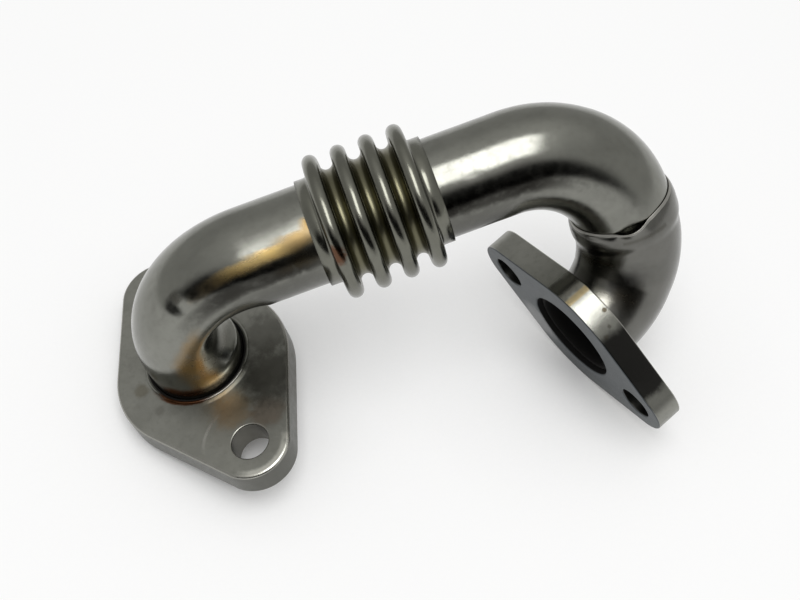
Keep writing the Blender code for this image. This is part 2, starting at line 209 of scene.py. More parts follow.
# Finishes: colour, roughness and depth of the fine pits
Finish = namedtuple("Finish", "colour roughness pits")
TUBE_FINISH = Finish(STEEL, 0.145, 0.012)
ELBOW_FINISH = Finish(ELBOW_STEEL, 0.18, 0.012)
BELLOWS_FINISH = Finish(BELLOWS_STEEL, 0.17, 0.012)
INLET_PLATE_FINISH = Finish(PLATE_STEEL, 0.36, 0.02)
OUTLET_PLATE_FINISH = Finish(PLATE_STEEL, 0.34, 0.02)
BRAZE_FINISH = Finish(PLATE_STEEL, 0.6, 0.05)

# Grain of the steel: noises as waves per millimetre, detail and roughness, the noise levels that
# they are read between, and how far they change colour and roughness
CLOUD_NOISE = (0.13, 4.0, 0.6)
PATCH_NOISE = (0.6, 4.0, 0.6)
PIT_NOISE = (5.0, 3.0, 0.7)
CLOUD_LEVELS = (0.35, 0.7)
PATCH_LEVELS = (0.45, 0.75)
DULL_LEVELS = (0.3, 0.8)
CLOUD_SHADE = 0.86
PATCH_STRENGTH = 0.22
PATCH_POLISH = 0.03
PATCH_DULLING = 0.07
PIT_DULLING = 0.04
SPECULAR_LEVEL = 0.15

# Ragged edges of the marks: the noise's usual and finer waves per millimetre, its detail and
# roughness, and how far a mark's edge wanders, as a share of the mark's size
RAGGED_SCALE = 0.35
EDGE_SCALE = 0.8
CREVICE_SCALE = 0.9
SPECK_SCALE = 1.2
RAGGED_NOISE = (4.0, 0.65)
SPOT_WANDER_ROUND = 0.6
SPOT_WANDER_ALONG = 0.4
BLOT_WANDER = 0.5
SPECK_WANDER = 0.5
# The share of a mark's radius within which it is full
BLOT_CORE = 0.4
SPECK_CORE = 0.5

# Heat tints and other marks on the tubes: angle, distance along, half angle, half length, colour,
# strength
TUBE_TINTS = (
    (-128.0, 63.0, 24.0, 9.0, SCORCH, 0.9),
    (-130.5, 49.0, 10.0, 11.0, GOLD, 0.9),
    (-135.0, 57.0, 10.0, 9.0, GOLD, 1.0),
    (-140.0, 64.0, 12.0, 8.0, DULL_GOLD, 1.0),
    (-152.0, 67.0, 10.0, 2.5, DULL_GOLD, 1.0),
    (-86.0, 20.0, 30.0, 8.0, TAN, 1.0),
    (-80.0, 13.0, 26.0, 7.0, TAN, 1.0),
    (-92.0, 28.0, 18.0, 8.0, TAN, 0.7),
    # A painted highlight where the inlet leg's inner side faces up
    (-60.0, 18.6, 16.0, 6.0, PALE, 0.9),
    (-24.0, 17.0, 34.0, 4.5, DARK_STEEL, 0.8),
    (-75.0, 9.6, 70.0, 1.8, SCORCH, 0.8),
    (-142.0, 36.8, 9.0, 2.6, SHADE, 0.95),
)
# Painted reflections: darker bands low on the tubes' front side, a dim and a black one, in the same
# order
PAINTED_REFLECTION_BANDS = (
    (-84.0, 58.0, 30.0, 30.0, PAINTED_DIM_REFLECTION, 1.0),
    (-84.0, 104.0, 30.0, 36.0, PAINTED_DIM_REFLECTION, 1.0),
    (-111.0, 60.0, 13.0, 24.0, DEEP_SHADE, 1.0),
    (-111.0, 45.0, 13.0, 18.0, DEEP_SHADE, 0.9),
    (-111.0, 100.0, 13.0, 24.0, DEEP_SHADE, 1.0),
    (-109.0, 118.0, 14.0, 20.0, DEEP_SHADE, 1.0),
)
ELBOW_TINTS = (
    (-50.0, 164.0, 36.0, 7.0, DARK_OLIVE, 0.8),
    (-75.0, 183.0, 16.0, 5.0, PALE, 0.9),
    (-98.0, 178.0, 20.0, 8.0, SCORCH, 0.7),
    (-115.0, 155.5, 8.0, 1.0, SHADE, 0.6),
)
TINT_ROUGHNESS = 0.3

# Worn edges: how ragged, the wear at which bare metal starts and the wear at which it is full
RIM_WEAR = (0.3, 0.3, 0.7)
RIM_STRENGTH = 0.75
RIM_ROUGHNESS = 0.45
PLATE_WEAR = (0.25, 0.2, 0.7)
PLATE_WEAR_ROUGHNESS = 0.24
# The wear of the first rings from the elbow's rim on, where the bare, paler rim is also a painted
# highlight
MOUTH_WEAR_AND_HIGHLIGHT = (1.0, 0.7, 0.2)

# Soot inside: the distances from the axis at which it starts and is full
SOOT_ROUGHNESS = 0.8
TUBE_SOOT = (TUBE_RADIUS - 0.15, TUBE_RADIUS - 0.4)
BELLOWS_SOOT = (CUFF_RADIUS - 0.2, CUFF_RADIUS - 0.35)

# Bellows: the distances from the axis where a groove's tint starts and is full, those from its
# middle where the tint ends and is full, and a rusty place as a point and a radius
GROOVE_DEPTH = (CUFF_RADIUS + CONVOLUTION_HEIGHT * 0.9, CUFF_RADIUS + 1.2)
GROOVE_RAGGED = 0.7
GROOVE_ENDS = (TOP_CREST + 2.0, TOP_CREST + 0.5)
GROOVE_STRENGTH = 0.9
GROOVE_ROUGHNESS = 0.3
RUSTY_FOLD = ((-8.3, -15.5, 70.8), 3.4)
RUSTY_FOLD_STRENGTH = 0.85

# A place on a plate is its x, y and radius in the plate's own frame, with +X along the bolts.
# Rings in a flange's crevice are the distances outside the tube where each starts and is full.
RUSTY_SIDE = (8.0, -9.5, 10.0)
RUST_RING = (2.5, 1.9)
RUST_RAGGED = 0.3
# A painted highlight on one side of the bore's rounded edge: a place, the distance outside the tube
# and the fade
HIGHLIGHT_SIDE = (12.5, 3.0, 8.5)
HIGHLIGHT_MIDDLE = 2.4
HIGHLIGHT_FADE = (0.9, 0.3)
BLACK_RING = (0.95, 0.65)
BLACK_RAGGED = 0.15
# Painted shade in the bolt holes: its fade beyond the hole and its strength
HOLE_FADE = 0.25
HOLE_STRENGTH = 0.8

# Inlet flange: stains and darker places as x, y, radius, colour and strength
INLET_MARKS = (
    (17.5, 0.5, 6.5, TAN, 0.45),
    (23.5, 7.5, 6.0, BROWN, 0.35),
    (14.5, 13.0, 11.0, SHADE, 0.8),
    (3.0, 18.0, 9.0, SHADE, 0.6),
    (14.0, 10.0, 5.0, SHADE, 0.6),
    (-2.9, -16.5, 2.6, OLIVE, 0.5),
    (5.6, -15.2, 1.8, DARK_STEEL, 0.5),
)
# Its worn edges, and the heights at which the painted shade on its wall starts and is full
INLET_EDGE_WEAR = 0.35
INLET_SHADED_WALL = (INLET_FLANGE.thickness - 0.3, INLET_FLANGE.thickness - 0.8)
# A painted highlight on the edge of one lug, by the distance from the bolt
HIGHLIGHT_LUG = (38.0, 2.0, 12.0)
HIGHLIGHT_EDGE = (INLET_FLANGE.lug - 2.4, INLET_FLANGE.lug - 1.4)
HIGHLIGHT_RAGGED = 0.5
HIGHLIGHT_STRENGTH = 0.5
HIGHLIGHT_ROUGHNESS = 0.26
# The print of a washer round one bolt
WASHER_RADIUS = 12.0
WASHER_FADE = (0.6, 0.15)
WASHER_PLACE = (18.0, -8.0, 7.0)
WASHER_STRENGTH = 0.65
WASHER_ROUGHNESS = 0.2

# Outlet flange: its side in view, by the distance across the plate and by the height
OUTLET_EDGE_WEAR = 0.8
SIDE_ACROSS = (-7.0, -9.0)
SIDE_HEIGHT = (OUTLET_FLANGE.thickness - 0.1, OUTLET_FLANGE.thickness - 0.3)
SIDE_RAGGED = 1.5
# Marks along that side: a painted black reflection between two places, a polished stretch and two
# bands, the first of them painted shade
DARK_REFLECTION_FROM = (7.5, 10.5)
DARK_REFLECTION_TO = (27.0, 24.5)
DARK_REFLECTION_STRENGTH = 0.95
POLISH_ALONG = (-11.0, -8.0)
POLISH_ACROSS = (-10.0, -14.0)
POLISH_ROUGHNESS = 0.14
SHADE_MIDDLE = -6.8
SHADE_FADE = (3.2, 2.2)
SHADE_STRENGTH = 0.7
STRAW_MIDDLE = -3.1
STRAW_FADE = (1.2, 0.5)
STRAW_STRENGTH = 0.8
# Small dark nicks in the side: place, radius, strength
SIDE_NICKS = (
    ((3.9, -20.1, 5.9), 0.8, 0.9),
    ((7.6, -19.1, 4.2), 0.7, 0.5),
    ((9.0, -18.6, 2.0), 0.9, 0.5),
)
# Its bluish mating face, by the height, and a cleaner place on it
FACE_HEIGHT = (0.35, 0.1)
FACE_SCALE = 0.4
FACE_ROUGHNESS = 0.42
CLEAN_FACE = (-11.0, 12.0, 8.0)

# Braze: its black inner side by the distance outside the tube, and a rusty place and a bare place,
# which is also a painted highlight, in the frame of the flange's face, which isn't turned to the
# bolts
CREVICE_RING = (1.0, 0.6)
CREVICE_RAGGED = 0.15
BRAZE_RIM_ROUGHNESS = 0.36
RUSTY_CREVICE = (-6.3, -13.2, 11.0)
BARE_AND_HIGHLIGHT_CREVICE = (6.9, -14.4, 8.5)

# Floor: lengths in metres, the grain in waves per metre, the share of plain white that the eye sees
# on it, and the reach within which the pipe's shadow takes that away
FLOOR_HALF = 5.0
FLOOR_DROP = 0.0002
FLOOR_GRAIN = 900.0
FLOOR_ROUGHNESS = 0.9
FLOOR_SPECULAR = 0.1
FLOOR_GLOW = 0.7
SHADOW_REACH = 0.05
SHADOW_POWER = 2.0
SHADOW_SAMPLES = 4

# A direction is its degrees from +Y towards +X and its degrees above the floor. The lamp's
# distance and size are in metres.
LAMP_DIRECTION = (-170.0, 77.0)
LAMP_DISTANCE = 0.75
LAMP_SIZE = (0.38, 0.52)
LAMP_RADIANCE = 4.5

# Room: grey, with a ceiling that grows paler between two heights of the unit line of sight, and a
# dark place low at the front. The dark is full up to the first angle off its middle and above the
# floor, and gone at the second.
ROOM_COLOUR = (1.0, 1.0, 0.98)
ROOM_GREY = 0.52
CEILING_GREY = 0.8
CEILING_HEIGHT = (0.55, 1.0)
ROOM_DARK = 0.02
DARK_SIDE = -162.0
DARK_HALF = (38.0, 62.0)
DARK_TOP = (28.0, 48.0)


def root_matrix():
    """Return the matrix from the pipe's own frame in millimetres to the scene in metres."""
    turn = Euler([radians(a) for a in PIPE_TURN]).to_matrix().to_4x4()
    place = Matrix.Translation(Vector(PIPE_PLACE) * MM)
    return place @ turn @ Matrix.Scale(MM, 4)


ROOT = root_matrix()

# Centre line

Station = namedtuple("Station", "matrix along twist bend pinch")


class Route:
    """A centre line that is laid piece by piece. Local +Z is the way ahead."""

    def __init__(self, matrix, along=0.0, twist=0.0):
        self.stations = [Station(matrix, along, twist, 0.0, 0.0)]

    def end(self):
        return self.stations[-1]

    def straight(self, length):
        steps = max(1, round(length / RUN_STEP))
        first = self.end()
        for k in range(1, steps + 1):
            ahead = length * k / steps
            moved = first.matrix @ Matrix.Translation((0, 0, ahead))
            self.stations.append(Station(moved, first.along + ahead, first.twist, 0.0, 0.0))
        return self

    def bend(self, radius, angle, roll, pinch=0.0):
        """Turn the way ahead by an angle towards the rolled local +X."""
        steps = max(2, round(angle / BEND_STEP))
        first = self.end()
        twist = first.twist + radians(roll)
        rolled = Matrix.Rotation(radians(roll), 4, "Z")
        centre = first.matrix @ rolled @ Matrix.Translation((radius, 0, 0))
        back = Matrix.Translation((-radius, 0, 0))
        for k in range(1, steps + 1):
            passed = radians(angle) * k / steps
            moved = centre @ Matrix.Rotation(passed, 4, "Y") @ back
            along = first.along + radius * passed
            strength = sin(pi * k / steps)
            self.stations.append(Station(moved, along, twist, strength, pinch * strength))
        return self


def route_from(station):
    """Return a new route that starts at a station."""
    return Route(station.matrix, station.along, station.twist)


def station_at(stations, along):
    """Return a station at any distance along a list of them."""
    pairs = list(zip(stations, stations[1:]))
    first, second = next((pair for pair in pairs if along <= pair[1].along), pairs[-1])
    share = (along - first.along) / (second.along - first.along)
    rolled = first.matrix @ Matrix.Rotation(second.twist - first.twist, 4, "Z")
    turn = rolled.to_quaternion().slerp(second.matrix.to_quaternion(), share)
    place = first.matrix.to_translation().lerp(second.matrix.to_translation(), share)
    matrix = Matrix.Translation(place) @ turn.to_matrix().to_4x4()
    return Station(matrix, along, second.twist, first.bend + (second.bend - first.bend) * share, 0.0)


# Tubes

def link(made):
    bpy.context.scene.collection.objects.link(made)
    return made


def mesh_from_rings(name, rings, worn=None):
    """Return a closed object skinned over rings of (point, unbent point), with a wear per ring."""
    count = len(rings[0])
    points = [ROOT @ point for row in rings for point, _ in row]
    faces = []
    for r in range(len(rings)):
        here, there = r * count, ((r + 1) % len(rings)) * count
        for k in range(count):
            after = (k + 1) % count
            faces.append((here + k, here + after, there + after, there + k))
    mesh = bpy.data.meshes.new(name)
    mesh.from_pydata(points, [], faces)
    unbent = mesh.attributes.new("unbent", "FLOAT_VECTOR", "POINT")
    unbent.data.foreach_set("vector", [c for row in rings for _, flat in row for c in flat])
    wear = mesh.attributes.new("worn", "FLOAT", "POINT")
    wear.data.foreach_set("value", [w for w in worn or [0.0] * len(rings) for _ in range(count)])
    mesh.shade_smooth()
    return link(bpy.data.objects.new(name, mesh))


def turned(radius, angle, height):
    """Return a point at a radius and an angle round the axis."""
    return Vector((radius * cos(angle), radius * sin(angle), height))


def wavy(flat):
    """Return how far the fine wave lifts the surface at an unbent point."""
    return WAVE * noise.noise(flat / WAVE_LENGTH)


def dented(angle, along):
    """Return how far the dents push a tube's surface in at a place on it."""
    depth = 0.0
    for middle, place, half_angle, half_length, deepest in DENTS:
        across = ((degrees(angle) - middle + 180.0) % 360.0 - 180.0) / half_angle
        ahead = (along - place) / half_length
        depth += deepest * exp(-2.0 * (across ** 2 + ahead ** 2))
    return depth


def section(station, angle, radius):
    """Return a point of a tube's section. A bend widens it and pinches its inner side."""
    local = angle - station.twist
    x = radius * cos(local) * (1 + BEND_SWELL * station.bend)
    if x > 0:
        x *= 1 - station.pinch * min(1.0, cos(local) / CREASE)
    return x, radius * sin(local)


def ring(station, radius, lift=0.0):
    """Return one ring of a tube, as (point, unbent point) pairs."""
    made = []
    for angle in ANGLES:
        flat = turned(radius, angle, station.along + lift)
        reach = radius + wavy(flat) - dented(angle, station.along)
        made.append((station.matrix @ Vector((*section(station, angle, reach), lift)), flat))
    return made


def wall_end(station, radius, ahead=1):
    """Return the rings that round off the end of a tube's wall, from its outside to its inside."""
    middle = radius - LIP
    return [ring(station, middle + LIP * cos(a), ahead * LIP * sin(a)) for a in WALL_END]


def tube(name, stations):
    """Return a tube with rounded ends."""
    outer = [ring(station, TUBE_RADIUS) for station in stations]
    inner = [ring(station, TUBE_RADIUS - TUBE_WALL) for station in stations]
    last = wall_end(stations[-1], TUBE_RADIUS)
    first = wall_end(stations[0], TUBE_RADIUS, -1)
    return mesh_from_rings(name, outer + last + inner[::-1] + first[::-1])


# Bellows

def arc(centre, radius, start, end, steps):
    """Return points on an arc, both ends included."""
    angles = [start + (end - start) * k / steps for k in range(steps + 1)]
    return [(centre[0] + radius * cos(a), centre[1] + radius * sin(a)) for a in angles]


def bellows_profile(inset):
    """Return the bellows' surface moved in by an inset, as (radius, height) points, top down."""
    root_round = CONVOLUTION_PITCH / 2 - CREST_ROUND
    crest_centre = CUFF_RADIUS + CONVOLUTION_HEIGHT - CREST_ROUND
    fillet_centre = CUFF_RADIUS + CUFF_FILLET
    fillet_top = TOP_CREST + CREST_ROUND + CUFF_FILLET
    fillet_round = CUFF_FILLET + inset
    points = [(CUFF_RADIUS - inset, fillet_top + CUFF_LENGTH)]
    points += arc((fillet_centre, fillet_top), fillet_round, pi, 1.5 * pi, FILLET_STEPS)
    for k in range(CONVOLUTIONS):
        height = TOP_CREST - k * CONVOLUTION_PITCH
        points += arc((crest_centre, height), CREST_ROUND - inset, pi / 2, -pi / 2, CREST_STEPS)
        if k < CONVOLUTIONS - 1:
            root = (CUFF_RADIUS + root_round, height - CONVOLUTION_PITCH / 2)
            points += arc(root, root_round + inset, pi / 2, 1.5 * pi, ROOT_STEPS)
    points += arc((fillet_centre, -fillet_top), fillet_round, pi / 2, pi, FILLET_STEPS)
    points.append((CUFF_RADIUS - inset, -fillet_top - CUFF_LENGTH))
    return points


def bellows(name, middle):
    """Return the bellows about its middle station."""
    rings = []
    for radius, height in bellows_profile(0.0) + bellows_profile(BELLOWS_WALL)[::-1]:
        made = []
        for angle in ANGLES:
            flat = turned(radius, angle, middle.along + height)
            made.append((middle.matrix @ turned(radius + wavy(flat), angle, height), flat))
        rings.append(made)
    return mesh_from_rings(name, rings)


# Elbow

def soft_least(first, second, ease):
    """Return the smaller of two values, with a rounded change from one to the other."""
    gap = max(0.0, 1.0 - abs(first - second) / (2 * ease))
    return min(first, second) - ease / 2 * gap ** 2


def mouth_reach(off):
    """Return how far back the mouth reaches, at an angle off its shortest side."""
    rise = MOUTH_NEAR + SOCKET_RADIUS * tan(radians(MOUTH_SLANT)) * (1 - cos(off))
    return soft_least(rise, MOUTH_LONGEST, MOUTH_EASE)


def mouth_gape(off):
    """Return how far the rim stands off the tube, at an angle off the mouth's shortest side."""
    away = (off - radians(MOUTH_GAPE_ANGLE) + pi) % (2 * pi) - pi
    return MOUTH_GAPE * max(0.0, 1 - (away / radians(MOUTH_GAPE_HALF)) ** 2) ** 2


def mouth_ring(sleeve, bend_end, shoulder, row, inset=0.0, proud=0.0):
    """Return one ring of the elbow's slanted mouth, from its rim at row 0 to its shoulder at 1."""
    near_rim = (1 - row) ** 2
    wall = TUBE_WALL - (TUBE_WALL - MOUTH_RIM_WALL) * near_rim
    inside = TUBE_RADIUS + JOINT_GAP - (JOINT_GAP - MOUTH_RIM_GAP) * near_rim
    made = []
    for angle in ANGLES:
        off = angle - bend_end.twist - radians(MOUTH_ANGLE)
        rim = bend_end.along - mouth_reach(off)
        along = rim + (shoulder - rim) * row ** MOUTH_ROW_POWER
        radius = inside + wall * (1 - inset / TUBE_WALL) + mouth_gape(off) * near_rim
        flat = turned(radius, angle, along - proud)
        station = station_at(sleeve, along)
        point = Vector((*section(station, angle, radius + wavy(flat)), -proud))
        made.append((station.matrix @ point, flat))
    return made


def elbow(name, sleeve, bend_end, route):
    """Return the elbow: its mouth over the sleeve's stations, its shoulder and its bent route."""
    shoulder = bend_end.along + SOCKET_LAP + JOINT_GAP - SHOULDER_EASE
    rows = [k / MOUTH_ROWS for k in range(MOUTH_ROWS + 1)]
    outer = [mouth_ring(sleeve, bend_end, shoulder, row) for row in rows]
    inner = [mouth_ring(sleeve, bend_end, shoulder, row, TUBE_WALL) for row in rows]
    brow = [mouth_ring(sleeve, bend_end, shoulder, 0.0, LIP - LIP * cos(a), LIP * sin(a))
            for a in WALL_END]

    steps = [k / SHOULDER_ROWS for k in range(1, SHOULDER_ROWS + 1)]
    stations = [station_at(sleeve, shoulder + 2 * SHOULDER_EASE * step) for step in steps]
    radii = [SOCKET_RADIUS - SHOULDER_DROP * (0.5 - 0.5 * cos(pi * step)) for step in steps]
    taper = SOCKET_RADIUS - SHOULDER_DROP - TUBE_RADIUS
    taper_length = TAPER_SHARE * radians(ELBOW_BEND[1]) * ELBOW_BEND[0]
    for station in route.stations[1:]:
        passed = min(1.0, (station.along - route.stations[0].along) / taper_length)
        stations.append(station)
        radii.append(TUBE_RADIUS + taper * (1 - passed))
    outer += [ring(station, radius) for station, radius in zip(stations, radii)]
    inner += [ring(station, radius - TUBE_WALL) for station, radius in zip(stations, radii)]
    last = wall_end(stations[-1], radii[-1])

    # The rim and its first rings are worn bare, which also paints a highlight on the rim
    plain = len(outer + last + inner) - len(MOUTH_WEAR_AND_HIGHLIGHT)
    worn = [*MOUTH_WEAR_AND_HIGHLIGHT] + [0.0] * plain + [1.0] * len(brow)
    return mesh_from_rings(name, outer + last + inner[::-1] + brow[::-1], worn)


# Flanges and braze

def flange_outline(size, inset):
    """Return the outline that wraps a round body and two lugs, moved in by an inset."""
    half, lug, body = size.spacing / 2, size.lug, size.body
    lean = asin((body - lug) / half)
    lug_half = pi / 2 - lean
    lug_steps = round(2 * lug_half / radians(ARC_STEP))
    body_steps = max(BODY_STEPS_LEAST, round(2 * lean / radians(ARC_STEP)))
    side = arc((half, 0), lug - inset, -lug_half, lug_half, lug_steps)
    side += arc((0, 0), body - inset, pi / 2 - lean, pi / 2 + lean, body_steps)
    return side + [(-x, -y) for x, y in side]


def circle_outline(centre, radius, inset):
    """Return a hole's outline, widened by an inset."""
    return arc((centre, 0.0), radius + inset, 0.0, 2 * pi, HOLE_SIDES)[:-1]


def edge_steps(thickness, low, high, steps):
    """Return (inset, height) pairs up a wall that is rounded at both faces."""
    quarter = [pi / 2 * k / steps for k in range(steps + 1)]
    rise = [(low * (1 - sin(a)), low * (1 - cos(a))) for a in quarter]
    fall = [(high * (1 - cos(a)), thickness - high * (1 - sin(a))) for a in quarter]
    return rise + fall


def plate_walls(size):
    """Return a plate's walls as (outline by inset, low and high rounding, steps)."""
    half = size.spacing / 2
    chamfer = (HOLE_CHAMFER, HOLE_CHAMFER, CHAMFER_STEPS)
    return [
        (lambda inset: flange_outline(size, inset), size.edge_round, size.edge_round, ROUND_STEPS),
        (lambda inset: circle_outline(-size.offset, BORE_RADIUS, inset), FACE_CHAMFER,
         BORE_CHAMFER, CHAMFER_STEPS),
        (lambda inset: circle_outline(half, size.hole, inset), *chamfer),
        (lambda inset: circle_outline(-half, size.hole, inset), *chamfer),
    ]


def raise_wall(shape, worn, thickness, outline, low, high, steps):
    """Build one wall of a plate and return the edges of its lowest and of its highest ring."""
    rings = []
    for k, (inset, height) in enumerate(edge_steps(thickness, low, high, steps)):
        rings.append([shape.verts.new((x, y, height)) for x, y in outline(inset)])
        for vert in rings[-1]:
            vert[worn] = sin(pi * (k % (steps + 1)) / steps)
    for lower, upper in zip(rings, rings[1:]):
        for k in range(len(lower)):
            after = (k + 1) % len(lower)
            shape.faces.new((lower[k], lower[after], upper[after], upper[k]))
    return [[shape.edges.get(pair) for pair in zip(verts, verts[1:] + verts[:1])]
            for verts in (rings[0], rings[-1])]


def plate(name, face, size):
    """Return a two-bolt flange with rounded edges. Its mating face is at local z = 0."""
    shape = bmesh.new()
    worn = shape.verts.layers.float.new("worn")
    walls = [raise_wall(shape, worn, size.thickness, *wall) for wall in plate_walls(size)]
    for rims in zip(*walls):
        edges = [edge for rim in rims for edge in rim]
        bmesh.ops.triangle_fill(shape, use_beauty=True, use_dissolve=False, edges=edges)
    bmesh.ops.recalc_face_normals(shape, faces=shape.faces)
    mesh = bpy.data.meshes.new(name)
    shape.to_mesh(mesh)
    shape.free()
    unbent = mesh.attributes.new("unbent", "FLOAT_VECTOR", "POINT")
    unbent.data.foreach_set("vector", [c for v in mesh.vertices for c in v.co])
    shift = Matrix.Rotation(radians(size.angle), 4, "Z") @ Matrix.Translation((size.offset, 0, 0))
    mesh.transform(ROOT @ face @ shift)
    mesh.shade_smooth()
    made = link(bpy.data.objects.new(name, mesh))
    made.modifiers.new("normals", "WEIGHTED_NORMAL").weight = NORMAL_WEIGHT
    return made


def braze(name, face, thickness):
    """Return the brazed fillet in the crevice round a tube at a flange's back."""
    rings = []
    for out, rise in BRAZE_SECTION:
        radius, height = BRAZE_INSIDE + out, thickness + rise
        made = []
        for angle in ANGLES:
            lump = LUMP_HEIGHT * noise.noise(turned(LUMP_CIRCLE, angle, LUMP_LEVEL))
            made.append((face @ turned(radius, angle, height + lump), turned(radius, angle, height)))
        rings.append(made)
    return mesh_from_rings(name, rings)


# Materials

class Nodes:
    """A node tree with short calls for the nodes that are used here."""

    def __init__(self, tree):
        self.tree = tree

    def add(self, kind, inputs=None, **settings):
        node = self.tree.nodes.new(kind)
        for key, value in settings.items():
            setattr(node, key, value)
        for key, value in (inputs or {}).items():
            self.feed(node.inputs[key], value)
        return node

    def feed(self, socket, value):
        """Link a value to a socket, or set it there if it is a number, a vector or a colour."""
        if isinstance(value, bpy.types.NodeSocket):
            self.tree.links.new(value, socket)
        elif socket.type == "RGBA":
            socket.default_value = (*value, 1.0)
        else:
            socket.default_value = value

    def math(self, operation, first, second=0.0):
        return self.add("ShaderNodeMath", {0: first, 1: second}, operation=operation).outputs[0]

    def times(self, first, second):
        return self.math("MULTIPLY", first, second)

    def minus(self, first, second):
        return self.math("SUBTRACT", first, second)

    def vector_math(self, operation, first, second):
        made = self.add("ShaderNodeVectorMath", {0: first, 1: second}, operation=operation)
        return made.outputs

    def component(self, vector, index):
        return self.add("ShaderNodeSeparateXYZ", {0: vector}).outputs[index]

    def span(self, value, low, high, out_low=0.0, out_high=1.0):
        """Return a smooth step of a value between two ends."""
        ends = {0: value, 1: low, 2: high, 3: out_low, 4: out_high}
        return self.add("ShaderNodeMapRange", ends, interpolation_type="SMOOTHSTEP").outputs[0]

    def stripe(self, value, middle, fade):
        """Return 1 near a middle value and 0 off it. The fade says how far off 0 and 1 begin."""
        return self.span(self.math("ABSOLUTE", self.minus(value, middle)), *fade)

    def noise(self, vector, scale, detail=3.0, roughness=0.5):
        inputs = {"Vector": vector, "Scale": scale, "Detail": detail, "Roughness": roughness}
        return self.add("ShaderNodeTexNoise", inputs).outputs["Fac"]

    def mix(self, factor, first, second):
        made = self.add("ShaderNodeMix", {0: factor, 6: first, 7: second}, data_type="RGBA")
        return made.outputs[2]

    def mix_value(self, factor, first, second):
        made = self.add("ShaderNodeMix", {0: factor, 2: first, 3: second}, data_type="FLOAT")
        return made.outputs[0]


def new_material(name):
    made = bpy.data.materials.new(name)
    made.use_nodes = True
    return made


class Surface(Nodes):
    """A pitted metal on which marks are laid one by one. The marks are placed in the unbent frame,
    where a tube is straight and a plate lies flat."""

    def __init__(self, name, finish):
        self.material = new_material(name)
        super().__init__(self.material.node_tree)
        self.inputs = self.tree.nodes["Principled BSDF"].inputs
        self.inputs["Specular IOR Level"].default_value = SPECULAR_LEVEL
        self.patches = self.noise(self.unbent(), *PATCH_NOISE)
        pits = self.noise(self.unbent(), *PIT_NOISE)
        bump = self.add("ShaderNodeBump", {"Height": pits, "Distance": finish.pits * MM})
        self.feed(self.inputs["Normal"], bump.outputs[0])
        uneven = self.span(self.patches, *DULL_LEVELS, finish.roughness - PATCH_POLISH,
                           finish.roughness + PATCH_DULLING)
        self.base = finish.colour
        self.rough = self.math("ADD", uneven, self.times(pits, PIT_DULLING))
        self.metal = 1.0

    def done(self):
        """Feed the shader and return the material."""
        self.feed(self.inputs["Base Color"], self.base)
        self.feed(self.inputs["Roughness"], self.rough)
        self.feed(self.inputs["Metallic"], self.metal)
        return self.material

    def paint(self, mask, colour, strength=1.0):
        """Lay a colour where the mask is 1."""
        self.base = self.mix(self.times(mask, strength), self.base, colour)

    def polish(self, mask, roughness):
        """Change the roughness where the mask is 1."""
        self.rough = self.mix_value(mask, self.rough, roughness)

    def cloud(self, colour):
        """Lay cloudy stains and darker patches on a steel's colour."""
        clouds = self.span(self.noise(self.unbent(), *CLOUD_NOISE), *CLOUD_LEVELS)
        self.paint(clouds, tuple(c * CLOUD_SHADE for c in colour))
        self.paint(self.span(self.patches, *PATCH_LEVELS), DARK_STEEL, PATCH_STRENGTH)

    def soot(self, mask):
        """Lay dry soot where the mask is 1."""
        self.paint(mask, SOOT)
        self.polish(mask, SOOT_ROUGHNESS)
        self.metal = self.mix_value(mask, 1.0, 0.0)

    def unbent(self):
        return self.add("ShaderNodeAttribute", attribute_name="unbent").outputs["Vector"]

    def ahead(self):
        """Return the distance along the centre line, or the height in a plate."""
        return self.component(self.unbent(), 2)

    def around(self, angle):
        """Return the cosine of the angle round the tube from a given direction."""
        toward = (cos(radians(angle)), sin(radians(angle)), 0.0)
        dot = self.vector_math("DOT_PRODUCT", self.unbent(), toward)["Value"]
        return self.math("DIVIDE", dot, TUBE_RADIUS)

    def off_axis(self, x=0.0, y=0.0):
        """Return the distance from the centre line, or from an upright axis of a plate."""
        level = self.vector_math("MULTIPLY", self.unbent(), (1.0, 1.0, 0.0))[0]
        return self.vector_math("DISTANCE", level, (x, y, 0.0))["Value"]

    def ragged(self, value, amount, scale=RAGGED_SCALE):
        """Return a value with noise added, so that a mark made from it has an uneven edge."""
        cloud = self.minus(self.noise(self.unbent(), scale, *RAGGED_NOISE), 0.5)
        return self.math("ADD", value, self.times(cloud, 2.0 * amount))

    def spot(self, angle, along, half_angle, half_length):
        """Return an uneven soft patch on a tube, 1 in its middle and 0 outside it."""
        rim = cos(radians(half_angle))
        side = self.ragged(self.around(angle), (1.0 - rim) * SPOT_WANDER_ROUND)
        off = self.math("ABSOLUTE", self.minus(self.ahead(), along))
        off = self.ragged(off, half_length * SPOT_WANDER_ALONG)
        return self.times(self.span(side, rim, 1.0), self.span(off, half_length, 0.0))

    def blot(self, x, y, radius):
        """Return an uneven patch on a plate."""
        off = self.ragged(self.off_axis(x, y), radius * BLOT_WANDER)
        return self.span(off, radius, radius * BLOT_CORE)

    def speck(self, place, radius):
        """Return a small uneven mark at a place."""
        off = self.vector_math("DISTANCE", self.unbent(), place)["Value"]
        off = self.ragged(off, radius * SPECK_WANDER, SPECK_SCALE)
        return self.span(off, radius, radius * SPECK_CORE)

    def bare(self, raggedness, start, full):
        """Return 1 where an edge is worn to bare metal."""
        worn = self.add("ShaderNodeAttribute", attribute_name="worn").outputs["Fac"]
        return self.span(self.ragged(worn, raggedness, EDGE_SCALE), start, full)


